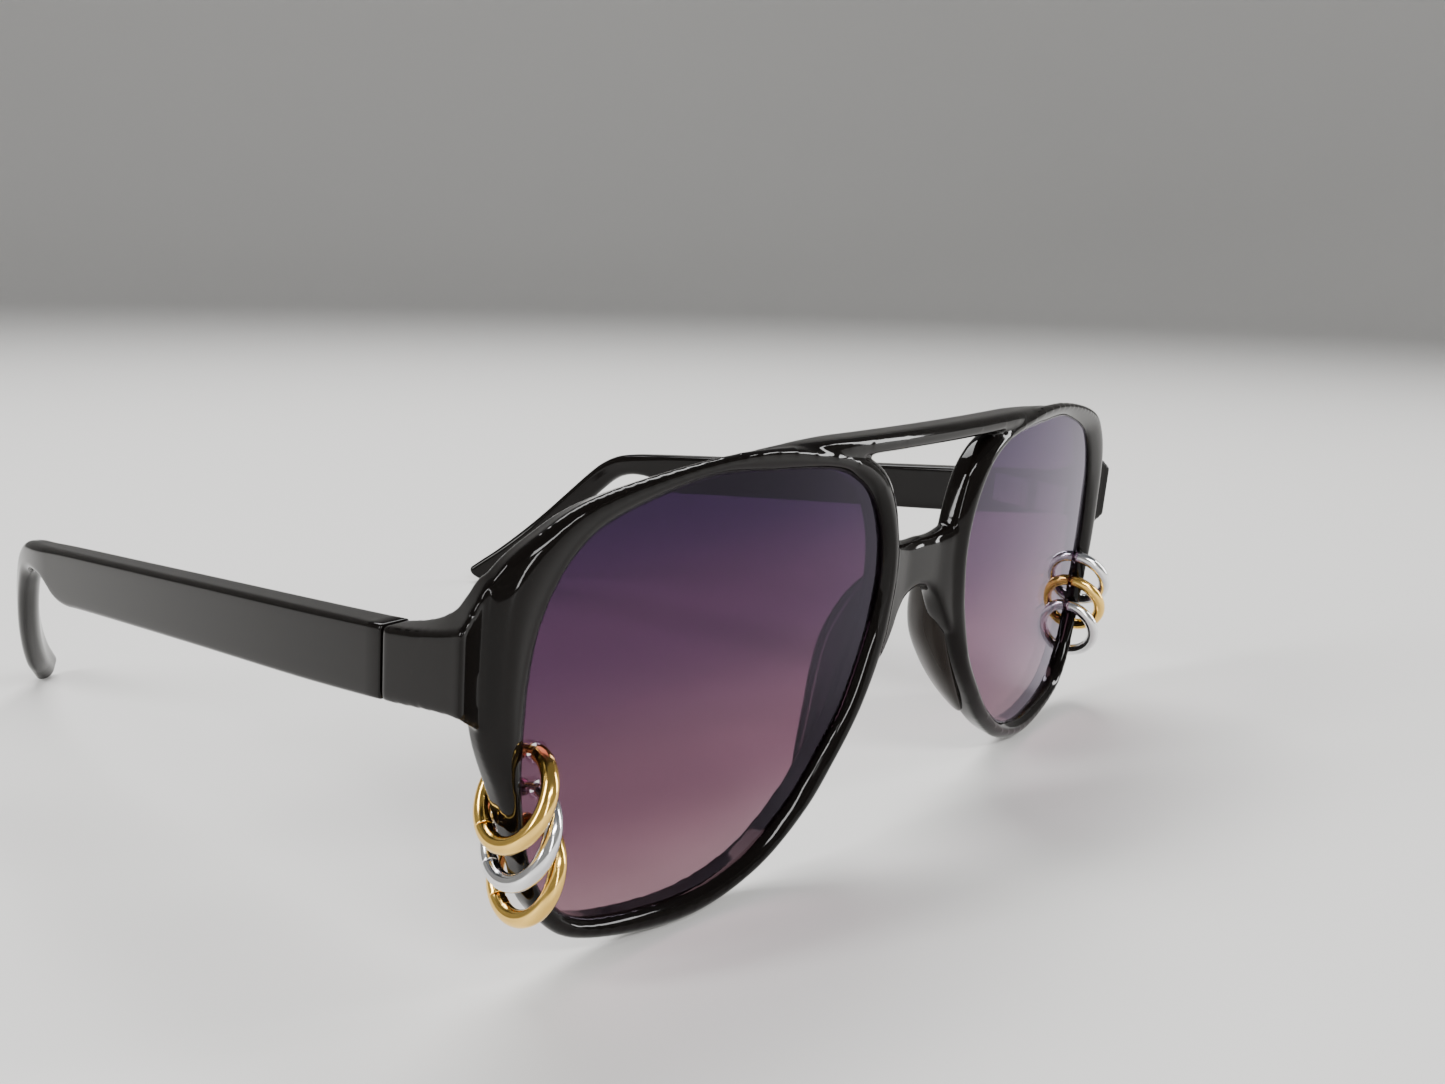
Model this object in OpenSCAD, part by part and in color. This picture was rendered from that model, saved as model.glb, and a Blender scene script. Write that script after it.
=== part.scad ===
// Pilot-style sunglasses with three small hinged hoops hooked through each lens.
// They stand open on a table, on the bottoms of the rims and the tips of the temples.
// Everything is first laid out round an upright front (x across, y to the rear, z up from
// the middle of the lenses), then leaned back and set down by stand().

/* [Front] */
// Thickness of the front, from its face to its back
front_t = 4.4; // [4.2:0.1:5]
// Radius of the gentle wrap of the front, seen from above
wrap_r = 337; // [300:1:400]
// Depth of the lens face behind the face of the front
lens_set = 1.5; // [1.2:0.1:1.7]
// Thickness of a lens
lens_t = 1.8; // [1.6:0.1:2]

/* [Temples] */
// Thickness of a temple blade
blade_t = 3.8; // [3.4:0.1:4.2]
// Gap between the temple and the endpiece
butt_gap = 0.2; // [0.1:0.05:0.3]
// Radius of the core wire inside a temple
core_r = 0.7; // [0.5:0.1:0.9]

/* [Temple hinge] */
// Outer radius of the hinge knuckles
knuckle_r = 1.2; // [1.1:0.05:1.25]
// Radius of the hinge screw
screw_r = 0.6; // [0.5:0.05:0.7]
// Height of the stack of three knuckles
hinge_h = 5; // [4.5:0.1:5.2]

/* [Hoops] */
// Radius of the middle line of a hoop
hoop_r = 4.95; // [4.85:0.05:5.05]
// Radius of the hoop's tube
tube_r = 0.95; // [0.85:0.05:0.95]
// Radius of the thin post that goes through the lens
post_r = 0.45; // [0.4:0.05:0.5]
// Radius of the holes in the lens
hole_r = 0.95; // [0.9:0.05:1]
// Radius of the hoop's own hinge pin
pin_r = 0.35; // [0.3:0.05:0.4]

/* [Hidden] */
// Running clearance between a shaft and its hole
run_gap = 0.05;
// Play between a lens and its groove, and how far the lens goes into it
groove_gap = 0.05;
groove_d = 0.9;
// How far the front edges are stepped in, and how deep that step is
edge_in = 0.7;
edge_d = 0.9;
cut = 0.01;
far = 200;

// Half outlines as [x, z], going clockwise from the top middle of the front
brow = [[0, 27.5], [16, 27.5], [28, 27.5], [39, 27.1], [46, 26.5], [52.7, 25.4],
        [58.7, 23.8], [63.4, 21.7], [67, 19], [70.2, 15.9], [73.4, 13]];
flank = [[73.4, 4], [71.6, 2.6], [70.2, 0.6], [68.8, -3.6], [67, -8.1], [65.3, -14],
         [63.2, -19.9], [59, -23.8], [52, -26.5], [42.5, -27.5], [33.5, -25.9],
         [26, -22.3], [19.5, -16.8], [14.2, -10.6], [10.2, -4.8], [8, -0.4],
         [5.6, 3], [3, 4.7], [0, 5.2]];
window = [[6, 12], [7.8, 16], [9.2, 20], [10.9, 23.3], [11.6, 25.6]];
lens = [[65, 0], [63.2, 12.6], [54.6, 21.7], [43, 24.6], [32.8, 24.5], [23, 23.7],
        [13.9, 19], [10.5, 9.3], [12.6, 0], [15.7, -7.1], [20.1, -12.7], [25.3, -18.1],
        [32.8, -22.7], [43, -24.5], [55.8, -22.9], [64.3, -13.1]];

// Endpiece and temple: joint plane, and the temple's side view as [y, z]
joint_y = 20;
joint_x = 73.2;
blade = [[joint_y, 10.2], [70, 3.1], [104, -1.7], [112, -2.9], [116, -3.9], [119.5, -5.9], [125, -11.3],
         [134, -21.5], [145.5, -33.7], [146.6, -35.6], [145.2, -37.2], [143, -36.8],
         [129, -22.4], [119, -11.2], [114.5, -8], [106.5, -7.2], [102.5, -8.8], [98.5, -9.1],
         [60, -3.6], [36, -0.3], [joint_y, 2.2]];
toe_in = 4;
// The temple curves inwards behind this point, along an arc of this radius
curl_y = 104;
curl_r = 70;

// Hinge axis
axis_x = 67.95;
hinge_z = 3.6;
leaf_t = 0.9;
leaf_l = 5.6;
head_h = 0.5;

// Hoops from the top down: hole [x, z], and how far each hoop leans outwards, turns about
// the vertical and tips forwards
holes = [[63.15, -2], [62.6, -6.2], [61.9, -10.4]];
leans = [29, 26.5, 22.5];
turns = [11, 11, 10];
tips = [11.5, 11.5, 8];
// Angles round a hoop from its hole: the tube's front and rear ends, socket, seam
front_a = 13;
rear_a = 20;
socket_a = 10;
seam_a = 150;
fork_a = 14;
tongue_t = 0.8;

// The lean of the front on the table, and the shift that centres its footprint
lean = 3.9;
stand_z = 27.24;
stand_y = 73.43;

// Point at t on the smooth curve from b to c, with neighbours a and d
function blend(a, b, c, d, t) =
    0.5 * (2 * b + (c - a) * t + (2 * a - 5 * b + 4 * c - d) * t * t
        + (3 * b - a - 3 * c + d) * t * t * t);

// Smooth closed loop through p, n steps to each span
function loop(p, n) = [
    for (i = [0:len(p) - 1], k = [0:n - 1])
        blend(p[(i + len(p) - 1) % len(p)], p[i], p[(i + 1) % len(p)],
            p[(i + 2) % len(p)], k / n)
];

// Smooth open curve through p, with both of its ends
function run(p, n) = concat([
    for (i = [0:len(p) - 2], k = [0:n - 1])
        blend(p[max(i - 1, 0)], p[i], p[i + 1], p[min(i + 2, len(p) - 1)], k / n)
], [p[len(p) - 1]]);

// The other half of a half outline, in reverse order
function reflect(p) = [for (i = [len(p) - 1:-1:0]) [-p[i][0], p[i][1]]];

// A closed loop moved sideways by d, outwards for a clockwise one
function grow(p, d) = [
    for (i = [0:len(p) - 1])
        let (a = p[(i + len(p) - 1) % len(p)], b = p[(i + 1) % len(p)], t = b - a)
            p[i] + d * [-t[1], t[0]] / norm(t)
];

lens_loop = loop([for (i = [len(lens) - 1:-1:0]) lens[i]], 3);
half_loop = concat(run(brow, 2), run(flank, 2));
outer_loop = concat(half_loop, [for (i = [1:len(half_loop) - 2]) reflect(half_loop)[i]]);
window_loop = concat(reflect(window), window);

// Leans the upright layout back and sets it on the table
module stand() {
    translate([0, -stand_y, stand_z]) rotate([lean, 0, 0]) children();
}

// Left is +x, the wearer's left; right is its mirror image
module side(s) {
    stand() mirror([s < 0 ? 1 : 0, 0, 0]) children();
}

// Wall from y0 to y1 behind the wrapped face of the front
module wrap_wall(y0, y1) {
    translate([0, wrap_r, -far / 2]) difference() {
        cylinder(r = wrap_r - y0, h = far, $fn = 256);
        translate([0, 0, -cut]) cylinder(r = wrap_r - y1, h = far + 2 * cut, $fn = 256);
    }
}

// A flat [x, z] outline pushed through the front
module through(p) {
    translate([0, far / 4, 0]) rotate([90, 0, 0]) linear_extrude(far / 3) polygon(p);
}

// Outline p as a wrapped plate between two depths
module plate(p, y0, y1) {
    intersection() {
        through(p);
        wrap_wall(y0, y1);
    }
}

module lens_cut(d, y0, y1) {
    plate(grow(lens_loop, d), y0, y1);
}

// Side block that carries the front back to the temple joint
module endpiece() {
    intersection() {
        translate([0, 0, -far / 4]) linear_extrude(far / 2)
            polygon([[66, 8], [73.4, 8.1], [joint_x + 0.1, joint_y],
                [joint_x - blade_t, joint_y], [joint_x - blade_t, 14.5], [66, 11.4]]);
        rotate([90, 0, 90]) linear_extrude(far / 2)
            polygon([[7, 13.2], [9, 12.9], [joint_y, 10.2], [joint_y, 2.2], [9, 3.8], [7, 4]]);
    }
}

module front_frame() color("#17130f") stand() difference() {
    union() {
        plate(outer_loop, edge_d, front_t - edge_d);
        plate(grow(outer_loop, -edge_in), 0, front_t);
        endpiece();
        mirror([1, 0, 0]) endpiece();
    }
    through(window_loop);
    for (s = [0, 1]) mirror([s, 0, 0]) {
        through(lens_loop);
        lens_cut(groove_d + groove_gap, lens_set - groove_gap, lens_set + lens_t + groove_gap);
        leaf_box(-1);
    }
}

// Nose pad: a flared fin on the back of the nasal rim
module nose_pad(s) color("#2a211a") side(s) hull() {
    translate([9.6, 5.2, 3]) sphere(r = 1.5, $fn = 32);
    translate([10.4, 7, 2]) sphere(r = 1.5, $fn = 32);
    translate([12.8, 8.2, -4]) sphere(r = 1.5, $fn = 32);
    translate([12, 5.7, -4.6]) sphere(r = 2, $fn = 32);
    translate([16.8, 5.4, -12.4]) sphere(r = 1.6, $fn = 32);
    translate([15.6, 6.6, -10.6]) sphere(r = 1.3, $fn = 32);
}

module lens(s) color("#6a5170", 0.6) side(s) difference() {
    lens_cut(groove_d, lens_set, lens_set + lens_t);
    for (i = [0:2]) at_hole(i) rotate([90, 0, asin(holes[i][0] / lens_mid)])
        cylinder(r = hole_r, h = 4 * lens_t, center = true, $fn = 48);
}

// Box of a hinge leaf, on the endpiece (-1) or on the temple (1)
module leaf_box(way) {
    translate([axis_x + leaf_t / 2, way < 0 ? joint_y - knuckle_r - 0.25 - leaf_l
        : joint_y + knuckle_r + 0.25, hinge_z]) cube([leaf_t, leaf_l, hinge_h]);
}

// Knuckle and its web, from height z0 up by h, joined to the leaf on one side
module knuckle(way, z0, h) {
    translate([axis_x, joint_y, z0]) cylinder(r = knuckle_r, h = h, $fn = 48);
    translate([axis_x + leaf_t / 2, way < 0 ? joint_y - knuckle_r - 0.25 : joint_y, z0])
        cube([leaf_t - 0.2, knuckle_r + 0.25, h]);
}

module screw_bore() {
    translate([axis_x, joint_y, hinge_z - 1])
        cylinder(r = screw_r + run_gap, h = hinge_h + 2, $fn = 48);
}

module front_leaf(s) color("silver") side(s) difference() {
    union() {
        leaf_box(-1);
        knuckle(-1, hinge_z, hinge_h / 3);
        knuckle(-1, hinge_z + hinge_h * 2 / 3, hinge_h / 3);
    }
    screw_bore();
}

module temple_leaf(s) color("silver") side(s) difference() {
    union() {
        leaf_box(1);
        knuckle(1, hinge_z + hinge_h / 3 + run_gap, hinge_h / 3 - 2 * run_gap);
    }
    screw_bore();
}

module hinge_screw(s) color("gainsboro") side(s) translate([axis_x, joint_y, hinge_z])
    difference() {
        union() {
            cylinder(r = screw_r, h = hinge_h, $fn = 48);
            translate([0, 0, hinge_h]) cylinder(r = screw_r * 1.7, h = head_h, $fn = 48);
        }
        translate([-far / 2, -0.12, hinge_h + head_h / 2]) cube([far, 0.24, head_h]);
    }

// Plan of a temple: straight and toed in, then curling inwards to its tip
function temple_x(y) = joint_x - (y - joint_y) * tan(toe_in)
    - (y < curl_y ? 0 : curl_r - sqrt(pow(curl_r, 2) - pow(y - curl_y, 2)));
plan_y = concat([joint_y + butt_gap], [for (y = [curl_y:6:146]) y], [150]);
temple_plan = concat([for (y = plan_y) [temple_x(y), y]],
    [for (i = [len(plan_y) - 1:-1:0]) [temple_x(plan_y[i]) - blade_t, plan_y[i]]]);

module temple(s) color("#17130f") side(s) difference() {
    intersection() {
        translate([0, 0, -far / 2]) linear_extrude(far) polygon(temple_plan);
        rotate([90, 0, 90]) linear_extrude(far / 2) polygon(blade);
    }
    leaf_box(1);
}

// Core wire along the middle of the temple
core_line = [for (p = [[29, 4.8], [98, -4.4], [113, -5.4], [120.5, -11.2], [140, -32]])
    [temple_x(p[0]) - blade_t / 2, p[0], p[1]]];

module rod(a, b, r) {
    d = b - a;
    translate(a) rotate([0, acos(d[2] / norm(d)), atan2(d[1], d[0])])
        cylinder(r = r, h = norm(d), $fn = 32);
}

module temple_core(s) color("dimgray") side(s) union() {
    for (i = [0:len(core_line) - 2]) rod(core_line[i], core_line[i + 1], core_r);
    for (i = [1:len(core_line) - 2]) translate(core_line[i]) sphere(r = core_r * 1.15, $fn = 32);
}

// Middle of one hole, and the turn of the lens there
lens_mid = wrap_r - lens_set - lens_t / 2;
function hole_y(x) = wrap_r - sqrt(lens_mid * lens_mid - x * x);

module at_hole(i) {
    translate([holes[i][0], hole_y(holes[i][0]), holes[i][1]]) children();
}

// Frame of one hoop: its middle at the origin, its hole at angle 0 in the xy plane,
// with angles growing towards the rear
module at_hoop(i) {
    at_hole(i) rotate([0, 0, turns[i]]) rotate([0, -leans[i], 0]) rotate([-tips[i], 0, 0])
        translate([0, 0, -hoop_r]) rotate([0, -90, 0]) children();
}

module arc(a0, a1, r) {
    rotate([0, 0, a0]) rotate_extrude(angle = a1 - a0, $fn = 128)
        translate([hoop_r, 0]) circle(r = r, $fn = 48);
}

// Slot of half width r that lets the post out towards the middle of the hoop
module notch(a0, a1, r) {
    rotate([0, 0, a0]) rotate_extrude(angle = a1 - a0, $fn = 128)
        translate([hoop_r - 2 * tube_r, -r]) square([2 * tube_r, 2 * r]);
}

// Disc of thickness t, centred on the hoop's own hinge
module at_seam(r, t) {
    rotate([0, 0, seam_a]) translate([hoop_r, 0, -t / 2]) cylinder(r = r, h = t, $fn = 48);
}

// Front half of a hoop, with the post and a fork for the arm
module hoop(s, i, tint) color(tint) side(s) at_hoop(i) difference() {
    union() {
        arc(seam_a, 360 - front_a, tube_r);
        arc(359 - front_a, 357 + rear_a + socket_a, post_r);
        at_seam(tube_r - 0.1, 2 * tube_r - 0.3);
    }
    at_seam(tube_r + 0.1, tongue_t + 2 * run_gap);
    at_seam(pin_r + run_gap / 2, 4 * tube_r);
}

// Rear half of a hoop: it swings on the seam pin and closes over the post
module hoop_arm(s, i, tint) color(tint) side(s) at_hoop(i) difference() {
    union() {
        arc(rear_a, seam_a - fork_a, tube_r);
        intersection() {
            arc(seam_a - fork_a - 4, seam_a, tube_r - 0.2);
            translate([-far / 2, -far / 2, -tongue_t / 2]) cube([far, far, tongue_t]);
        }
        at_seam(tube_r - 0.2, tongue_t);
    }
    arc(rear_a - 1, rear_a + socket_a, post_r + run_gap);
    notch(rear_a - 1, rear_a + socket_a, post_r + run_gap);
    at_seam(pin_r + run_gap / 2, 4 * tube_r);
}

module hoop_pin(s, i, tint) color(tint) side(s) at_hoop(i)
    at_seam(pin_r, 2 * tube_r - 0.3);

front_frame();
nose_pad(1);  // nose_pad_left
nose_pad(-1);  // nose_pad_right
lens(1);  // lens_left
lens(-1);  // lens_right
front_leaf(1);  // front_hinge_leaf_left
front_leaf(-1);  // front_hinge_leaf_right
hinge_screw(1);  // hinge_screw_left
hinge_screw(-1);  // hinge_screw_right
temple(1);  // temple_left
temple(-1);  // temple_right
temple_leaf(1);  // temple_hinge_leaf_left
temple_leaf(-1);  // temple_hinge_leaf_right
temple_core(1);  // temple_core_left
temple_core(-1);  // temple_core_right
hoop(1, 0, "silver");  // upper_hoop_left
hoop_arm(1, 0, "silver");  // upper_hoop_arm_left
hoop_pin(1, 0, "silver");  // upper_hoop_pin_left
hoop(1, 1, "gold");  // middle_hoop_left
hoop_arm(1, 1, "gold");  // middle_hoop_arm_left
hoop_pin(1, 1, "gold");  // middle_hoop_pin_left
hoop(1, 2, "silver");  // lower_hoop_left
hoop_arm(1, 2, "silver");  // lower_hoop_arm_left
hoop_pin(1, 2, "silver");  // lower_hoop_pin_left
hoop(-1, 0, "gold");  // upper_hoop_right
hoop_arm(-1, 0, "gold");  // upper_hoop_arm_right
hoop_pin(-1, 0, "gold");  // upper_hoop_pin_right
hoop(-1, 1, "silver");  // middle_hoop_right
hoop_arm(-1, 1, "silver");  // middle_hoop_arm_right
hoop_pin(-1, 1, "silver");  // middle_hoop_pin_right
hoop(-1, 2, "gold");  // lower_hoop_right
hoop_arm(-1, 2, "gold");  // lower_hoop_arm_right
hoop_pin(-1, 2, "gold");  // lower_hoop_pin_right
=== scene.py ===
import math
import bpy
import bmesh
from mathutils import Matrix, Vector


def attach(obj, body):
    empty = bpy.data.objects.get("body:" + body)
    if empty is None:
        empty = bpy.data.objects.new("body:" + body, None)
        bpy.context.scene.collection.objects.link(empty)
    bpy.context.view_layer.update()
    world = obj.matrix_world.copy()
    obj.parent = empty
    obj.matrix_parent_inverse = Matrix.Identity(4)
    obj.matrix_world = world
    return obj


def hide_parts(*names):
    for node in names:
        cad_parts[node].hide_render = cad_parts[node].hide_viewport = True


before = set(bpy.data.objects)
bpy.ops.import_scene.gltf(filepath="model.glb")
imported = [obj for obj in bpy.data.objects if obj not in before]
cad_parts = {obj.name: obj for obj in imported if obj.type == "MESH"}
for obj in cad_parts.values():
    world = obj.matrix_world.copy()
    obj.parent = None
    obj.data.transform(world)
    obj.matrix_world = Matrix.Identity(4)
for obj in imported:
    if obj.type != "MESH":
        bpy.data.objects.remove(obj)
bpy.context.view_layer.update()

scene = bpy.context.scene

# the front is laid out upright in millimetres, then leaned back and set on the table
standing = (Matrix.Translation((0, -0.07343, 0.02724))
            @ Matrix.Rotation(math.radians(3.9), 4, "X") @ Matrix.Scale(0.001, 4))
wrapRadius = 337.0


# depth of the curved face at x, or of a layer that far behind it
def wrapDepth(x, layer=0.0):
    return wrapRadius - math.sqrt((wrapRadius - layer) ** 2 - x * x)


def between(a, b, t):
    return a + (b - a) * t


def soft(t):
    t = min(max(t, 0.0), 1.0)
    return t * t * (3 - 2 * t)


# point at t (0 to 1) on the smooth curve through rows of numbers
def spline(rows, t, closed=False):
    count = len(rows)
    spans = count if closed else count - 1
    place = t * spans
    index = min(int(place), spans - 1)
    f = place - index
    pick = (lambda k: rows[k % count]) if closed else (lambda k: rows[min(max(k, 0), count - 1)])
    quad = zip(pick(index - 1), pick(index), pick(index + 1), pick(index + 2))
    return [0.5 * (2 * b + (c - a) * f + (2 * a - 5 * b + 4 * c - d) * f * f
                   + (3 * b - a - 3 * c + d) * f ** 3) for a, b, c, d in quad]


# a grid whose every vertex is put in place by a function of its two steps
def drape(columns, rows, put):
    mesh = bmesh.new()
    bmesh.ops.create_grid(mesh, x_segments=columns, y_segments=rows, size=1)
    for vert in mesh.verts:
        i = round((vert.co.x + 1) / 2 * columns)
        j = round((vert.co.y + 1) / 2 * rows)
        vert.co = put(i, j)
    bmesh.ops.remove_doubles(mesh, verts=mesh.verts, dist=1e-4)
    bmesh.ops.dissolve_degenerate(mesh, edges=mesh.edges, dist=1e-5)
    bmesh.ops.recalc_face_normals(mesh, faces=mesh.faces)
    return mesh


# evenly stepped outline of a rectangle with round corners, as (across, up)
def roundedLoop(halfWide, halfTall, radius, corner, flat):
    points = []
    radius = min(radius, halfWide * 0.98, halfTall * 0.98)
    middles = [(halfWide - radius, halfTall - radius), (radius - halfWide, halfTall - radius),
               (radius - halfWide, radius - halfTall), (halfWide - radius, radius - halfTall)]
    for side in range(4):
        cx, cz = middles[side]
        nx, nz = middles[(side + 1) % 4]
        for k in range(corner):
            angle = math.pi / 2 * (side + k / corner)
            points.append((cx + radius * math.cos(angle), cz + radius * math.sin(angle)))
        angle = math.pi / 2 * (side + 1)
        for k in range(flat):
            t = k / flat
            points.append((between(cx, nx, t) + radius * math.cos(angle),
                           between(cz, nz, t) + radius * math.sin(angle)))
    return points


# one bmesh holding all of the given ones
def gather(parts):
    whole = bmesh.new()
    for part in parts:
        scrap = bpy.data.meshes.new("scrap")
        part.to_mesh(scrap)
        part.free()
        whole.from_mesh(scrap)
        bpy.data.meshes.remove(scrap)
    return whole


def mirrored(mesh):
    twin = mesh.copy()
    bmesh.ops.transform(twin, matrix=Matrix.Scale(-1, 4, (1, 0, 0)), verts=twin.verts)
    bmesh.ops.reverse_faces(twin, faces=twin.faces)
    return twin


# an object from upright millimetres, set on the table, with edges sharper than the angle kept
def makePiece(name, mesh, body, material, sharpAngle):
    bmesh.ops.recalc_face_normals(mesh, faces=mesh.faces)
    bmesh.ops.transform(mesh, matrix=standing, verts=mesh.verts)
    data = bpy.data.meshes.new(name)
    mesh.to_mesh(data)
    mesh.free()
    piece = bpy.data.objects.new(name, data)
    scene.collection.objects.link(piece)
    data.materials.append(material)
    keepSharp(data, sharpAngle)
    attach(piece, body)
    return piece


def keepSharp(data, sharpAngle):
    mesh = bmesh.new()
    mesh.from_mesh(data)
    for face in mesh.faces:
        face.smooth = True
    for edge in mesh.edges:
        edge.smooth = not (len(edge.link_faces) == 2
                           and edge.calc_face_angle(0) > math.radians(sharpAngle))
    mesh.to_mesh(data)
    mesh.free()


# bakes the modifiers of a scratch object and hands back its mesh
def baked(mesh, addModifiers):
    data = bpy.data.meshes.new("scratch")
    mesh.to_mesh(data)
    mesh.free()
    scratch = bpy.data.objects.new("scratch", data)
    scene.collection.objects.link(scratch)
    addModifiers(scratch)
    bpy.context.view_layer.update()
    done = scratch.evaluated_get(bpy.context.evaluated_depsgraph_get()).to_mesh()
    result = bmesh.new()
    result.from_mesh(done)
    bpy.data.objects.remove(scratch)
    return result


# ---- materials

def newMaterial(name):
    material = bpy.data.materials.new(name)
    material.use_nodes = True
    nodes = material.node_tree.nodes
    shader = nodes["Principled BSDF"]
    return material, nodes, material.node_tree.links, shader


plasticSettings = {"colour": (0.0035, 0.0027, 0.0023), "roughness": 0.05, "dustSize": 2600.0,
                   "dustAmount": 0.045, "patchSize": 260.0, "patchFrom": 0.5, "patchTo": 0.72,
                   "dust": (0.30, 0.28, 0.26), "dustRoughness": 0.7, "smearSize": 90.0,
                   "smearDetail": 5.0, "smoothest": 0.6, "roughest": 1.7,
                   "ior": 1.45, "specular": 0.2}


def blackPlastic(name, colour, roughness):
    s = plasticSettings
    material, nodes, links, shader = newMaterial(name)
    where = nodes.new("ShaderNodeTexCoord")
    specks = nodes.new("ShaderNodeTexVoronoi")
    specks.inputs["Scale"].default_value = s["dustSize"]
    pick = nodes.new("ShaderNodeMapRange")  # only the middles of the cells are dust
    pick.inputs["From Min"].default_value = s["dustAmount"]
    pick.inputs["From Max"].default_value = s["dustAmount"] * 0.5
    rare = nodes.new("ShaderNodeTexNoise")
    rare.inputs["Scale"].default_value = s["patchSize"]
    rareRange = nodes.new("ShaderNodeMapRange")
    rareRange.inputs["From Min"].default_value = s["patchFrom"]
    rareRange.inputs["From Max"].default_value = s["patchTo"]
    both = nodes.new("ShaderNodeMath")
    both.operation = "MULTIPLY"
    smear = nodes.new("ShaderNodeTexNoise")
    smear.inputs["Scale"].default_value = s["smearSize"]
    smear.inputs["Detail"].default_value = s["smearDetail"]
    smearRange = nodes.new("ShaderNodeMapRange")
    smearRange.inputs["To Min"].default_value = roughness * s["smoothest"]
    smearRange.inputs["To Max"].default_value = roughness * s["roughest"]
    tint = nodes.new("ShaderNodeMix")
    tint.data_type = "RGBA"
    tint.inputs["A"].default_value = (*colour, 1)
    tint.inputs["B"].default_value = (*s["dust"], 1)
    dull = nodes.new("ShaderNodeMix")
    dull.data_type = "FLOAT"
    dull.inputs["B"].default_value = s["dustRoughness"]
    for texture in (specks, rare, smear):
        links.new(where.outputs["Object"], texture.inputs["Vector"])
    links.new(specks.outputs["Distance"], pick.inputs["Value"])
    links.new(rare.outputs["Fac"], rareRange.inputs["Value"])
    links.new(pick.outputs["Result"], both.inputs[0])
    links.new(rareRange.outputs["Result"], both.inputs[1])
    links.new(smear.outputs["Fac"], smearRange.inputs["Value"])
    links.new(both.outputs["Value"], tint.inputs["Factor"])
    links.new(both.outputs["Value"], dull.inputs["Factor"])
    links.new(smearRange.outputs["Result"], dull.inputs["A"])
    links.new(tint.outputs["Result"], shader.inputs["Base Color"])
    links.new(dull.outputs["Result"], shader.inputs["Roughness"])
    shader.inputs["IOR"].default_value = s["ior"]
    shader.inputs["Specular IOR Level"].default_value = s["specular"]
    return material


metalSettings = {
    "gold": {"colour": (0.95, 0.61, 0.15), "roughness": 0.13},
    "silver": {"colour": (0.80, 0.80, 0.81), "roughness": 0.12},
    "steel": {"colour": (0.56, 0.56, 0.58), "roughness": 0.28},
    "wire": {"colour": (0.40, 0.40, 0.42), "roughness": 0.35}}
wearSettings = {"size": 700.0, "detail": 4.0, "smoothest": 0.6, "roughest": 1.6}


def metal(name, kind):
    s = metalSettings[kind]
    material, nodes, links, shader = newMaterial(name)
    where = nodes.new("ShaderNodeTexCoord")
    wear = nodes.new("ShaderNodeTexNoise")
    wear.inputs["Scale"].default_value = wearSettings["size"]
    wear.inputs["Detail"].default_value = wearSettings["detail"]
    wearRange = nodes.new("ShaderNodeMapRange")
    wearRange.inputs["To Min"].default_value = s["roughness"] * wearSettings["smoothest"]
    wearRange.inputs["To Max"].default_value = s["roughness"] * wearSettings["roughest"]
    links.new(where.outputs["Object"], wear.inputs["Vector"])
    links.new(wear.outputs["Fac"], wearRange.inputs["Value"])
    links.new(wearRange.outputs["Result"], shader.inputs["Roughness"])
    shader.inputs["Base Color"].default_value = (*s["colour"], 1)
    shader.inputs["Metallic"].default_value = 1.0
    return material


tintSettings = {"low": 0.002, "high": 0.051, "shine": 0.02,  # clear end, dark end, head-on shine
                "falloff": 5.0, "coating": (0.85, 0.76, 0.98), "roughness": 0.02,
                "stops": [(0.0, (0.54, 0.42, 0.45)), (0.35, (0.40, 0.27, 0.33)),
                          (0.70, (0.24, 0.145, 0.23)), (1.0, (0.13, 0.075, 0.17))]}


def tintedLens(name):
    s = tintSettings
    material, nodes, links, shader = newMaterial(name)
    out = nodes["Material Output"]
    where = nodes.new("ShaderNodeTexCoord")
    split = nodes.new("ShaderNodeSeparateXYZ")
    level = nodes.new("ShaderNodeMapRange")
    level.inputs["From Min"].default_value = s["low"]
    level.inputs["From Max"].default_value = s["high"]
    ramp = nodes.new("ShaderNodeValToRGB")
    ramp.color_ramp.interpolation = "EASE"
    stops = ramp.color_ramp.elements
    while len(stops) < len(s["stops"]):
        stops.new(0.5)
    for stop, (at, colour) in zip(stops, s["stops"]):
        stop.position = at
        stop.color = (*colour, 1)
    clear = nodes.new("ShaderNodeBsdfTransparent")
    facing = nodes.new("ShaderNodeLayerWeight")
    facing.inputs["Blend"].default_value = 0.5
    steep = nodes.new("ShaderNodeMath")  # Schlick's curve, the same from both sides
    steep.operation = "POWER"
    steep.inputs[1].default_value = s["falloff"]
    shine = nodes.new("ShaderNodeMapRange")
    shine.inputs["To Min"].default_value = s["shine"]
    mix = nodes.new("ShaderNodeMixShader")
    links.new(where.outputs["Object"], split.inputs["Vector"])
    links.new(split.outputs["Z"], level.inputs["Value"])
    links.new(level.outputs["Result"], ramp.inputs["Fac"])
    links.new(ramp.outputs["Color"], clear.inputs["Color"])
    links.new(facing.outputs["Facing"], steep.inputs[0])
    links.new(steep.outputs["Value"], shine.inputs["Value"])
    links.new(shine.outputs["Result"], mix.inputs["Fac"])
    links.new(clear.outputs["BSDF"], mix.inputs[1])
    links.new(shader.outputs["BSDF"], mix.inputs[2])
    links.new(mix.outputs["Shader"], out.inputs["Surface"])
    shader.inputs["Base Color"].default_value = (*s["coating"], 1)
    shader.inputs["Metallic"].default_value = 1.0
    shader.inputs["Roughness"].default_value = s["roughness"]
    return material


frameBlack = blackPlastic("frameBlack", plasticSettings["colour"], plasticSettings["roughness"])
templeBlack = blackPlastic("templeBlack", plasticSettings["colour"], 0.08)
padBlack = blackPlastic("padBlack", (0.011, 0.008, 0.006), 0.12)
lensTint = tintedLens("lensTint")
gold = metal("hoopGold", "gold")
silver = metal("hoopSilver", "silver")
steel = metal("hingeSteel", "steel")
wire = metal("coreWire", "wire")
print("materials ready")

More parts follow.
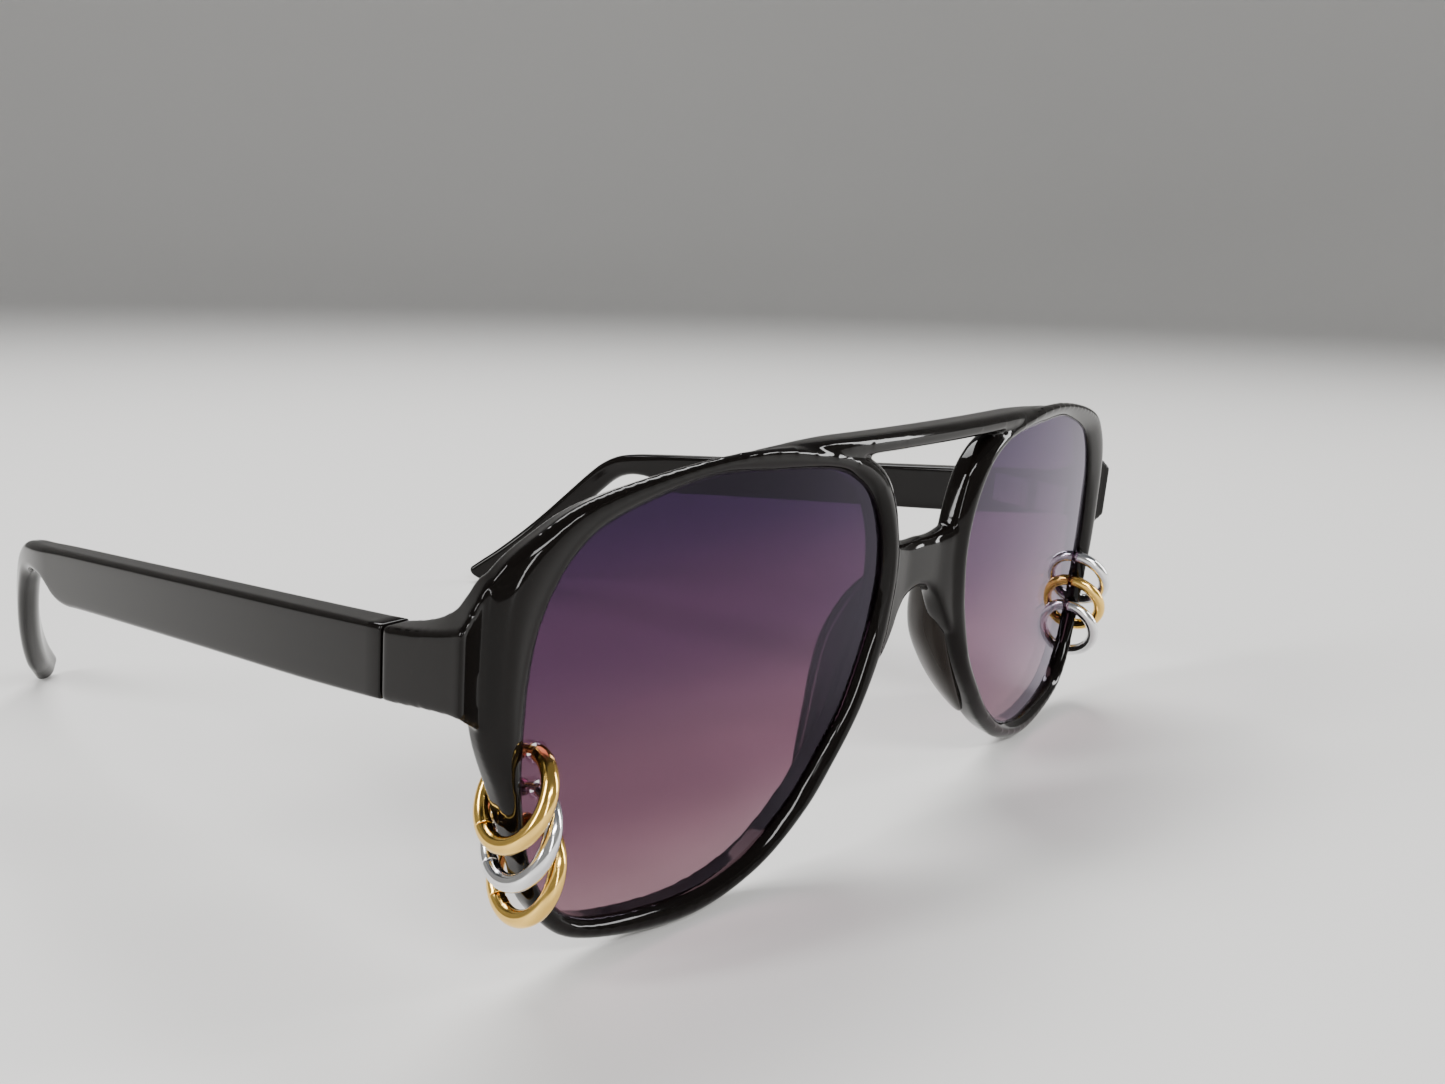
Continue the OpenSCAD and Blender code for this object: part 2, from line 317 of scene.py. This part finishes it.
# ---- front: two swept rims, brow bar, bridge and endpieces run together

rimSettings = {
    # inner edge x, z, outer edge x, z, where the crest is (0 inner, 1 outer), slope of the
    # outer wall, drop of the outer edge
    "stations": [
        (65.0, 0.0, 69.7, 0.4, 0.56, 0.3, 1.9), (64.6, 6.6, 70.4, 7.6, 0.54, 0.3, 2.1),
        (63.2, 12.6, 69.0, 16.4, 0.62, 0.5, 1.7), (59.9, 18.2, 63.4, 21.6, 0.78, 0.9, 1.2),
        (54.6, 21.7, 57.0, 24.5, 0.82, 1.2, 1.0), (43.0, 24.6, 44.4, 26.8, 0.84, 1.3, 0.9),
        (32.8, 24.5, 32.8, 27.4, 0.8, 1.3, 0.9), (23.0, 23.7, 21.4, 25.9, 0.6, 0.9, 1.1),
        (17.8, 22.0, 14.6, 24.2, 0.46, 0.3, 1.4), (13.9, 19.0, 10.1, 20.6, 0.34, 0.1, 1.4),
        (11.3, 14.2, 7.6, 14.8, 0.3, 0.0, 1.4), (10.5, 9.3, 6.9, 9.2, 0.3, 0.0, 1.5),
        (11.2, 4.5, 7.4, 3.6, 0.34, 0.0, 1.6), (12.6, 0.0, 8.3, -1.0, 0.38, 0.0, 1.7),
        (15.7, -7.1, 11.9, -7.8, 0.42, 0.0, 1.5), (20.1, -12.7, 16.9, -14.1, 0.46, 0.2, 1.2),
        (25.3, -18.1, 22.8, -20.1, 0.48, 0.3, 1.1), (32.8, -22.7, 31.6, -25.3, 0.5, 0.5, 1.1),
        (43.0, -24.5, 42.8, -27.5, 0.5, 0.6, 1.1), (55.8, -22.9, 57.4, -24.9, 0.5, 0.5, 1.0),
        (61.3, -18.9, 63.1, -20.2, 0.5, 0.3, 1.0), (64.3, -13.1, 65.35, -13.6, 0.5, 0.2, 1.0),
        (65.1, -6.5, 67.5, -6.3, 0.52, 0.2, 1.5)],
    "innerDrop": 1.25, "innerCurve": 1.7, "outerCurve": 1.8, "innerLand": 0.3, "back": 4.4,
    "backRound": 1.05, "steps": 10, "around": 300}


def rimMesh():
    s = rimSettings
    steps = s["steps"]
    rings = []
    for i in range(s["around"]):
        ix, iz, ox, oz, crest, slope, drop = spline(s["stations"], i / s["around"], closed=True)
        wide = math.hypot(ox - ix, oz - iz)
        top = crest * wide
        section = []
        for k in range(steps):  # inner edge up to the crest
            t = k / steps
            section.append((top * t, s["innerDrop"] * (1 - t) ** s["innerCurve"]))
        for k in range(steps):  # crest to the outer edge
            t = k / steps
            section.append((between(top, wide, t), drop * t ** s["outerCurve"]))
        rear = wide - slope
        for k in range(steps):  # outer wall
            t = k / steps
            section.append((between(wide, rear, t),
                            between(drop, s["back"] - s["backRound"], t)))
        for k in range(steps):  # rounded to the back
            a = math.pi / 2 * k / steps
            section.append((rear - s["backRound"] * (1 - math.cos(a)),
                            s["back"] - s["backRound"] * (1 - math.sin(a))))
        for k in range(steps):
            section.append((between(rear - s["backRound"], s["innerLand"], k / steps), s["back"]))
        for k in range(steps):
            section.append((s["innerLand"] * (1 - k / steps),
                            between(s["back"], s["innerDrop"], k / steps)))
        ux, uz = (ox - ix) / wide, (oz - iz) / wide
        rings.append([(ix + ux * d, y + wrapDepth(ix + ux * d), iz + uz * d)
                      for d, y in section])
    count = len(rings[0])
    return drape(s["around"], count, lambda i, j: rings[i % s["around"]][j % count])


# a tube through a list of closed rings, shut at both ends
def closedDrape(rings):
    count = len(rings[0])
    middles = [Vector([sum(c) / count for c in zip(*ring)]) for ring in (rings[0], rings[-1])]

    def put(i, j):
        if i == 0:
            return middles[0]
        if i > len(rings):
            return middles[1]
        return rings[i - 1][j % count]
    return drape(len(rings) + 1, count, put)


# a bar along x, whose sections are rounded rectangles given by a function
def barMesh(reach, columns, section):
    rings = []
    for i in range(columns + 1):
        x = between(-reach, reach, i / columns)
        front, rear, top, bottom, radius = section(x)
        loop = roundedLoop((rear - front) / 2, (top - bottom) / 2, radius, 8, 8)
        rings.append([(x, (front + rear) / 2 + wrapDepth(x) + dy, (top + bottom) / 2 + dz)
                      for dy, dz in loop])
    return closedDrape(rings)


browSettings = {"reach": 38, "top": 27.5, "tall": 2.5, "front": 0.15, "rear": 4.6, "round": 1.05,
                "straight": 20, "sag": 0.0024, "fadeOver": 18, "inset": 1.3, "thinning": 0.3}
bridgeSettings = {"reach": 9.6, "front": 1.5, "rear": 4.4, "round": 1.35,
                  "flare": 0.7, "flareFrom": 3, "flareOver": 6,
                  "edges": [(12.2, 5.2), (12.1, 4.7), (12.3, 3.0), (12.8, -0.6), (13.0, -3.4)]}


def browSection(x):
    s = browSettings
    out = max(abs(x) - s["straight"], 0)
    top = s["top"] - s["sag"] * out ** 2
    fade = soft(out / s["fadeOver"])
    bottom = top - s["tall"] * (1 - s["thinning"] * fade)
    inset = s["inset"] * fade
    return s["front"] + inset, s["rear"] - inset, top, bottom, s["round"]


def bridgeSection(x):
    s = bridgeSettings
    top, bottom = spline(s["edges"], abs(x) / s["reach"])
    front = s["front"] - s["flare"] * soft((abs(x) - s["flareFrom"]) / s["flareOver"])
    return front, s["rear"], top, bottom, s["round"]


endpieceSettings = {
    # outer x, y, inner x, y, top z, bottom z, going from the rim round the corner to the hinge
    "stations": [(65.8, 8.5, 65.8, 10.7, 17.6, 0.8), (67.8, 8.75, 67.0, 11.2, 17.0, 0.9),
                 (69.4, 8.8, 68.0, 11.8, 16.5, 1.2), (70.9, 8.55, 68.7, 12.4, 15.0, 2.1),
                 (72.2, 8.15, 69.1, 12.9, 13.9, 3.0), (73.1, 7.8, 69.3, 13.3, 13.2, 3.7),
                 (73.45, 7.95, 69.4, 13.7, 12.9, 3.95), (73.43, 9.0, 69.45, 14.3, 12.5, 3.85),
                 (73.4, 11.5, 69.5, 15.4, 11.8, 3.55), (73.35, 15.5, 69.5, 17.5, 10.95, 2.9),
                 (73.3, 20.0, 69.5, 20.0, 10.2, 2.2)],
    "edge": 0.5, "along": 160, "corner": 8, "flat": 10}


def endpieceMesh():
    s = endpieceSettings
    rings = []
    for i in range(s["along"] + 1):
        ox, oy, ix, iy, top, bottom = spline(s["stations"], i / s["along"])
        wide = math.hypot(ox - ix, oy - iy)
        outline = roundedLoop(wide / 2, (top - bottom) / 2, s["edge"], s["corner"], s["flat"])
        rings.append([((ox + ix) / 2 + (ox - ix) * a / wide, (oy + iy) / 2 + (oy - iy) * a / wide,
                       (top + bottom) / 2 + b) for a, b in outline])
    return closedDrape(rings)


fuseSettings = {"voxel": 0.29, "smoothings": 12}


def fuse(scratch):
    remesh = scratch.modifiers.new("oneSkin", "REMESH")
    remesh.mode = "VOXEL"
    remesh.voxel_size = fuseSettings["voxel"]
    remesh.adaptivity = 0.0
    smoother = scratch.modifiers.new("polish", "SMOOTH")
    smoother.factor = 0.5
    smoother.iterations = fuseSettings["smoothings"]


halfParts = [rimMesh(), endpieceMesh()]
otherHalf = [mirrored(part) for part in halfParts]
frontMesh = gather(halfParts + otherHalf
                   + [barMesh(browSettings["reach"], 96, browSection),
                      barMesh(bridgeSettings["reach"], 48, bridgeSection)])
front = makePiece("frontBody", baked(frontMesh, fuse), "front", frameBlack, 180)
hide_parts("front_frame")
print("front", sum(len(f.vertices) - 2 for f in front.data.polygons))

# ---- lenses, with countersunk holes

lensSettings = {
    "edge": [(65, 0), (63.2, 12.6), (54.6, 21.7), (43, 24.6), (32.8, 24.5), (23, 23.7),
             (13.9, 19), (10.5, 9.3), (12.6, 0), (15.7, -7.1), (20.1, -12.7), (25.3, -18.1),
             (32.8, -22.7), (43, -24.5), (55.8, -22.9), (64.3, -13.1)],
    "middle": (38, 2), "spare": 0.7, "face": 1.5, "thick": 1.8, "around": 240, "rings": 24,
    "holes": [(63.15, -2), (62.6, -6.2), (61.9, -10.4)], "holeRadius": 0.95,
    "sinkRadius": 1.3, "sinkDepth": 0.35, "clearAhead": 0.35, "clearBehind": 0.25,
    "rearSink": 0.6, "rearWider": 0.2}


def lensMesh():
    s = lensSettings
    mx, mz = s["middle"]
    rim = []
    for i in range(s["around"]):
        x, z = spline(s["edge"], i / s["around"], closed=True)
        far = math.hypot(x - mx, z - mz)
        rim.append((mx + (x - mx) * (1 + s["spare"] / far), mz + (z - mz) * (1 + s["spare"] / far)))
    last = s["rings"]
    # front face from the middle out, over the edge, then the back face to the middle
    steps = [(k / last, 0.0) for k in range(last + 1)] + [(1 - k / last, s["thick"])
                                                           for k in range(last + 1)]

    def put(i, j):
        reach, depth = steps[j]
        x = between(mx, rim[i % s["around"]][0], reach)
        z = between(mz, rim[i % s["around"]][1], reach)
        return x, wrapDepth(x, s["face"] + depth), z
    return drape(s["around"], len(steps) - 1, put)


# a drill with a countersink at both ends, its axis along the lens normal at a hole
def drillMesh(x, z):
    s = lensSettings
    sink = s["sinkDepth"]
    wider = s["sinkRadius"] - s["holeRadius"]
    ahead, behind = -s["clearAhead"], s["thick"] + s["clearBehind"]
    outline = [(0, ahead), (s["sinkRadius"] + wider * s["clearAhead"] / sink, ahead),
               (s["holeRadius"], sink), (s["holeRadius"], s["thick"] - sink * s["rearSink"]),
               (s["sinkRadius"] + s["rearWider"], behind), (0, behind)]
    mesh = bmesh.new()
    points = [mesh.verts.new((r, 0, depth - s["thick"] / 2)) for r, depth in outline]
    edges = [mesh.edges.new(pair) for pair in zip(points, points[1:])]
    bmesh.ops.spin(mesh, geom=points + edges, cent=(0, 0, 0), axis=(0, 0, 1), angle=math.tau,
                   steps=64, use_merge=True)
    bmesh.ops.remove_doubles(mesh, verts=mesh.verts, dist=1e-4)
    place = (Matrix.Translation((x, wrapDepth(x, s["face"] + s["thick"] / 2), z))
             @ Matrix.Rotation(math.asin(x / wrapRadius), 4, "Z")
             @ Matrix.Rotation(math.radians(-90), 4, "X"))
    bmesh.ops.transform(mesh, matrix=place, verts=mesh.verts)
    bmesh.ops.recalc_face_normals(mesh, faces=mesh.faces)
    return mesh


def makeLens(side):
    s = lensSettings
    drills = gather([drillMesh(x, z) for x, z in s["holes"]])
    data = bpy.data.meshes.new("drills")
    drills.to_mesh(data)
    drills.free()
    tool = bpy.data.objects.new("drills", data)
    scene.collection.objects.link(tool)

    def cutOut(scratch):
        cut = scratch.modifiers.new("hole", "BOOLEAN")
        cut.operation = "DIFFERENCE"
        cut.object = tool
        cut.solver = "MANIFOLD"
    mesh = baked(lensMesh(), cutOut)
    bpy.data.objects.remove(tool)
    if side < 0:
        bmesh.ops.transform(mesh, matrix=Matrix.Scale(-1, 4, (1, 0, 0)), verts=mesh.verts)
        bmesh.ops.reverse_faces(mesh, faces=mesh.faces)
    name = "Left" if side > 0 else "Right"
    piece = makePiece("lens" + name, mesh, "front", lensTint, 30)
    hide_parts("lens_" + name.lower())
    return piece


for side in (1, -1):
    makeLens(side)
print("lenses ready")

# ---- nose pads: thin fins behind the nasal rims

padSettings = {
    # middle x, y, z, half length x, y, half thickness
    "stations": [(8.3, 4.0, 8.2, 0.2, 1.4, 0.8), (8.9, 4.9, 4.6, 0.9, 2.6, 1.6),
                 (9.9, 5.6, 0.0, 1.8, 3.3, 2.1), (11.4, 5.7, -4.8, 2.0, 3.3, 2.3),
                 (13.9, 5.3, -9.6, 1.7, 2.8, 2.0), (17.1, 4.9, -14.0, 1.2, 2.0, 1.5),
                 (20.9, 4.4, -18.4, 0.4, 1.1, 0.7)],
    "along": 90, "around": 48}


def padMesh():
    s = padSettings
    rings = []
    for i in range(s["along"] + 1):
        t = i / s["along"]
        cap = math.sqrt(max(1 - (2 * t - 1) ** 8, 0))
        x, y, z, longX, longY, thick = spline(s["stations"], t)
        long = Vector((longX, longY, 0))
        thin = Vector((longY, -longX, 0)).normalized() * thick
        ring = []
        for j in range(s["around"]):
            a = 2 * math.pi * j / s["around"]
            c, d = math.cos(a), math.sin(a)
            ring.append(Vector((x, y, z)) + long * cap * math.copysign(abs(c) ** 0.8, c)
                        + thin * cap * math.copysign(abs(d) ** 0.8, d))
        rings.append(ring)
    return drape(s["along"], s["around"], lambda i, j: rings[i][j % s["around"]])


for side, name in ((1, "Left"), (-1, "Right")):
    mesh = padMesh()
    pad = makePiece("nosePad" + name, mesh if side > 0 else mirrored(mesh), "front",
                    padBlack, 60)
    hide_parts("nose_pad_" + name.lower())
print("pads ready")

# ---- temples: a deep flat blade that steps into a slim bend and a round tip

templeSettings = {
    # top y, z, bottom y, z, edge radius, half thickness
    "stations": [
        (20.2, 10.2, 20.2, 2.2, 0.55, 1.9), (36, 7.95, 36, -0.3, 0.7, 1.9),
        (60, 4.55, 60, -3.6, 0.75, 1.9), (80, 1.7, 80, -6.4, 0.8, 1.9),
        (94, -0.28, 93.6, -8.35, 0.85, 1.9), (99.4, -1.05, 98.6, -9.1, 0.9, 1.9),
        (103.4, -1.62, 102.2, -8.9, 1.0, 1.9), (107.4, -2.2, 106.4, -7.3, 1.2, 1.9),
        (112, -2.9, 110.9, -7.2, 1.4, 1.85), (115.9, -3.9, 114.2, -8.0, 1.5, 1.8),
        (119.4, -5.9, 116.7, -9.4, 1.55, 1.75), (122.4, -8.6, 119.2, -11.7, 1.55, 1.7),
        (126.2, -12.7, 122.7, -15.5, 1.55, 1.7), (134, -21.5, 130.3, -24.5, 1.55, 1.7),
        (140.6, -28.5, 136.5, -31.4, 1.6, 1.7), (144.0, -31.8, 140.0, -34.5, 1.6, 1.65),
        (145.9, -33.7, 141.9, -36.2, 1.6, 1.6)],
    "toeIn": 4.0, "outside": 73.2, "start": 20, "curlStart": 104, "curlRadius": 70,
    "along": 260, "corner": 7, "flat": 7, "capSteps": 10, "capLength": 1.7}


def templeSide(y):
    s = templeSettings
    x = s["outside"] - (y - s["start"]) * math.tan(math.radians(s["toeIn"]))
    if y > s["curlStart"]:
        x -= s["curlRadius"] - math.sqrt(s["curlRadius"] ** 2 - (y - s["curlStart"]) ** 2)
    return x


def templeMesh():
    s = templeSettings
    rings = []
    corner, flat = s["corner"], s["flat"]

    def ring(topY, topZ, lowY, lowZ, radius, half, shrink, push):
        middle = Vector((0, (topY + lowY) / 2, (topZ + lowZ) / 2))
        up = Vector((0, topY - lowY, topZ - lowZ))
        tall = up.length / 2
        up.normalize()
        ahead = Vector((0, -up.z, up.y)) * -1  # towards the tip
        middle = middle + ahead * push
        points = []
        for across, rise in roundedLoop(half * shrink, tall * shrink,
                                        radius * (shrink if shrink < 1 else 1), corner, flat):
            spot = middle + up * rise
            points.append(Vector((templeSide(spot.y) - s["stations"][0][5] + across,
                                  spot.y, spot.z)))
        return points

    ends = s["stations"]
    first = spline(ends, 0)
    rings.append([sum(ring(*first, 1, 0), Vector()) / (4 * (corner + flat))]
                 * (4 * (corner + flat)))
    for shrink, push in ((0.94, 0.0), (0.975, 0.08), (1.0, 0.25)):  # the flat front end
        rings.append(ring(*first, shrink, push))
    for i in range(4, s["along"] + 1):
        rings.append(ring(*spline(ends, i / s["along"]), 1, 0))
    last = spline(ends, 1)
    for k in range(1, s["capSteps"] + 1):
        a = math.pi / 2 * k / s["capSteps"]
        rings.append(ring(*last, max(math.cos(a), 0.001), s["capLength"] * math.sin(a)))
    rings.append([sum(rings[-1], Vector()) / len(rings[-1])] * len(rings[-1]))
    count = len(rings[0])
    return drape(len(rings) - 1, count, lambda i, j: rings[i][j % count])


for side, name in ((1, "Left"), (-1, "Right")):
    mesh = templeMesh()
    temple = makePiece("temple" + name, mesh if side > 0 else mirrored(mesh),
                       "temple_" + name.lower(), templeBlack, 50)
    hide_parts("temple_" + name.lower())
print("temples ready")

# ---- hoops: half hoop with its post, and the arm that shuts over the post

hoopSettings = {"radius": 4.95, "tube": 0.95, "post": 0.45, "frontEnd": 13, "rearEnd": 20,
                "socket": 10, "seam": 150, "joint": 10.6, "tongue": 0.8, "knuckle": 0.86,
                "play": 0.05, "cheekWide": 0.82, "cheekOver": 2, "tongueWide": 0.78,
                "tongueOver": 3, "postOverlap": 1, "postGap": 3, "postEdge": 0.1,
                "leans": [29, 26.5, 22.5], "turns": [11, 11, 10], "tips": [11.5, 11.5, 8]}


# round tube along the hoop, through rows of angle and radius
def arcMesh(rows, around=28):
    middle = hoopSettings["radius"]

    def put(i, j):
        angle, size = rows[i]
        a = 2 * math.pi * j / around
        r = middle + size * math.cos(a)
        turn = math.radians(angle)
        return r * math.cos(turn), r * math.sin(turn), size * math.sin(a)
    return drape(len(rows) - 1, around, put)


# rows of a tube from a0 to a1, shut at both ends with lightly rounded edges
def barRows(a0, a1, size, edge=0.16):
    bend = math.degrees(edge / hoopSettings["radius"])
    rows = [(a0, 0.0)]
    for k in range(6):
        a = math.pi / 2 * k / 5
        rows.append((a0 + bend * (1 - math.cos(a)), size - edge * (1 - math.sin(a))))
    steps = max(int(abs(a1 - a0) / 3), 2)
    for k in range(1, steps):
        rows.append((between(a0 + bend, a1 - bend, k / steps), size))
    for k in range(6):
        a = math.pi / 2 * k / 5
        rows.append((a1 - bend * (1 - math.sin(a)), size - edge * (1 - math.cos(a))))
    rows.append((a1, 0.0))
    return rows


# half widths along a leaf that ends round at the seam pin
def leafWidths(farAngle, widest, towards):
    s = hoopSettings
    reach = math.degrees(s["knuckle"] / s["radius"])
    rows = []
    for k in range(1, 13):
        a = math.pi / 2 * k / 12
        rows.append((s["seam"] + towards * reach * math.cos(a),
                     min(s["knuckle"] * math.sin(a), widest)))
    for k in range(1, 6):
        rows.append((between(s["seam"], farAngle, k / 5), widest))
    return rows


# a leaf from its widths: a slice of the round tube between two levels
def leafMesh(widths, low, high):
    s = hoopSettings
    rings = []
    for angle, wide in widths:
        turn = math.radians(angle)
        outline = [(between(-wide, wide, k / 8), low) for k in range(9)]
        for k in range(9):
            r = between(wide, -wide, k / 8)
            level = min(math.sqrt(s["tube"] ** 2 - r * r), high)
            outline.append((r, level))
        rings.append([((s["radius"] + r) * math.cos(turn), (s["radius"] + r) * math.sin(turn), z)
                      for r, z in outline])
    return closedDrape(rings)


def hoopPlace(level):
    s = hoopSettings
    x, z = lensSettings["holes"][level]
    mid = wrapRadius - lensSettings["face"] - lensSettings["thick"] / 2
    spot = Matrix.Translation((x, wrapRadius - math.sqrt(mid * mid - x * x), z))
    return (spot @ Matrix.Rotation(math.radians(s["turns"][level]), 4, "Z")
            @ Matrix.Rotation(math.radians(-s["leans"][level]), 4, "Y")
            @ Matrix.Rotation(math.radians(-s["tips"][level]), 4, "X")
            @ Matrix.Translation((0, 0, -s["radius"]))
            @ Matrix.Rotation(math.radians(-90), 4, "Y"))


def makeHoop(level, levelName, side, sideName, material):
    s = hoopSettings
    gap = s["tongue"] / 2 + s["play"]
    cheek = leafWidths(s["seam"] + s["joint"] + s["cheekOver"], s["cheekWide"], -1)
    lowerCheek = leafMesh(cheek, gap, 1)
    bmesh.ops.transform(lowerCheek, matrix=Matrix.Scale(-1, 4, (0, 0, 1)), verts=lowerCheek.verts)
    half = [arcMesh(barRows(s["seam"] + s["joint"], 360 - s["frontEnd"], s["tube"])),
            arcMesh(barRows(360 - s["postOverlap"] - s["frontEnd"],
                            360 - s["postGap"] + s["rearEnd"] + s["socket"],
                            s["post"], s["postEdge"]), 20),
            leafMesh(cheek, gap, 1), lowerCheek]
    tongue = leafWidths(s["seam"] - s["joint"] - s["tongueOver"], s["tongueWide"], 1)
    arm = [arcMesh(barRows(s["rearEnd"], s["seam"] - s["joint"], s["tube"])),
           leafMesh(tongue, -s["tongue"] / 2, s["tongue"] / 2)]
    for kind, parts in (("", half), ("Arm", arm)):
        mesh = gather(parts)
        bmesh.ops.transform(mesh, matrix=hoopPlace(level), verts=mesh.verts)
        if side < 0:
            bmesh.ops.transform(mesh, matrix=Matrix.Scale(-1, 4, (1, 0, 0)), verts=mesh.verts)
        body = levelName + "_hoop_" + ("arm_" if kind else "") + sideName.lower()
        piece = makePiece(levelName + "Hoop" + kind + sideName, mesh, body,
                          material, 40)
        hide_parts(body)


goldHoops = {("upper", "Right"), ("lower", "Right"), ("middle", "Left")}
for side, sideName in ((1, "Left"), (-1, "Right")):
    for level, levelName in enumerate(("upper", "middle", "lower")):
        isGold = (levelName, sideName) in goldHoops
        makeHoop(level, levelName, side, sideName, gold if isGold else silver)
        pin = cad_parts[levelName + "_hoop_pin_" + sideName.lower()]
        for held in pin.material_slots:
            held.material = gold if isGold else silver
print("hoops ready")

# ---- the metal of the temple hinges stays as it is in the frame, with better finishes

keptFinishes = {"front_hinge_leaf": steel, "temple_hinge_leaf": steel, "hinge_screw": steel,
                "temple_core": wire}
for start, material in keptFinishes.items():
    for sideName in ("left", "right"):
        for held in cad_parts[start + "_" + sideName].material_slots:
            held.material = material

# ---- table, light and camera

stageSettings = {"floor": (0.74, 0.73, 0.71), "floorRoughness": 0.6, "world": (0.75, 0.77, 0.80),
                 "worldPower": 0.22, "flat": 1.6, "bend": 0.8, "bendSteps": 12, "top": 1.5}
roomMesh = bmesh.new()
flat, bend = stageSettings["flat"], stageSettings["bend"]
profile = [roomMesh.verts.new(p) for p in ((0, 0, 0), (flat, 0, 0))]
for k in range(1, stageSettings["bendSteps"] + 1):  # the table runs up into a round wall
    a = math.pi / 2 * k / stageSettings["bendSteps"]
    profile.append(roomMesh.verts.new((flat + bend * math.sin(a), 0, bend * (1 - math.cos(a)))))
profile.append(roomMesh.verts.new((flat + bend, 0, stageSettings["top"])))
edges = [roomMesh.edges.new(pair) for pair in zip(profile, profile[1:])]
bmesh.ops.spin(roomMesh, geom=profile + edges, cent=(0, 0, 0), axis=(0, 0, 1),
               angle=math.tau, steps=96, use_merge=True)
bmesh.ops.remove_doubles(roomMesh, verts=roomMesh.verts, dist=1e-5)
bmesh.ops.recalc_face_normals(roomMesh, faces=roomMesh.faces)
floorData = bpy.data.meshes.new("floor")
roomMesh.to_mesh(floorData)
roomMesh.free()
floor = bpy.data.objects.new("floor", floorData)
scene.collection.objects.link(floor)
for face in floorData.polygons:
    face.use_smooth = True
floorMaterial, _, _, shader = newMaterial("paleTable")
shader.inputs["Base Color"].default_value = (*stageSettings["floor"], 1)
shader.inputs["Roughness"].default_value = stageSettings["floorRoughness"]
floorData.materials.append(floorMaterial)

world = bpy.data.worlds.new("softRoom")
scene.world = world
world.use_nodes = True
world.node_tree.nodes["Background"].inputs["Color"].default_value = (*stageSettings["world"], 1)
world.node_tree.nodes["Background"].inputs["Strength"].default_value = stageSettings["worldPower"]

lampSettings = [
    {"name": "topSheet", "at": (0.25, 0.35, 0.8), "aim": (0, 0, 0), "size": (0.7, 0.35),
     "power": 10},
    {"name": "windowLeft", "at": (-0.95, 0.35, 0.6), "aim": (0, 0, 0.03), "size": (0.16, 0.7),
     "power": 11},
    {"name": "windowFront", "at": (-0.35, -0.9, 0.75), "aim": (0, 0, 0.03), "size": (0.6, 0.14),
     "power": 8},
    {"name": "rightStrip", "at": (0.75, -0.62, 0.36), "aim": (0, 0, 0.03), "size": (0.12, 0.66),
     "power": 6},
    {"name": "nearStrip", "at": (-0.5, -0.95, 0.3), "aim": (0, 0, 0.03), "size": (0.07, 0.5),
     "power": 3}]
for s in lampSettings:
    light = bpy.data.lights.new(s["name"], "AREA")
    light.shape = "RECTANGLE"
    light.size, light.size_y = s["size"]
    light.energy = s["power"]
    lamp = bpy.data.objects.new(s["name"], light)
    scene.collection.objects.link(lamp)
    lamp.location = s["at"]
    lamp.rotation_euler = (Vector(s["aim"]) - Vector(s["at"])).to_track_quat("-Z", "Y").to_euler()

cameraSettings = {"at": (-0.15184, -0.16007, 0.07531), "right": (0.62921, -0.77687, 0.02391),
                  "up": (0.14764, 0.14966, 0.97765), "forward": (0.76308, 0.61162, -0.20886),
                  "lens": 33.47}
eye = bpy.data.cameras.new("eye")
eye.lens = cameraSettings["lens"]
eye.sensor_width = 36
eye.clip_start = 0.005
camera = bpy.data.objects.new("eye", eye)
scene.collection.objects.link(camera)
turned = Matrix((cameraSettings["right"], cameraSettings["up"],
                 [-c for c in cameraSettings["forward"]])).transposed().to_4x4()
camera.matrix_world = Matrix.Translation(cameraSettings["at"]) @ turned
scene.camera = camera
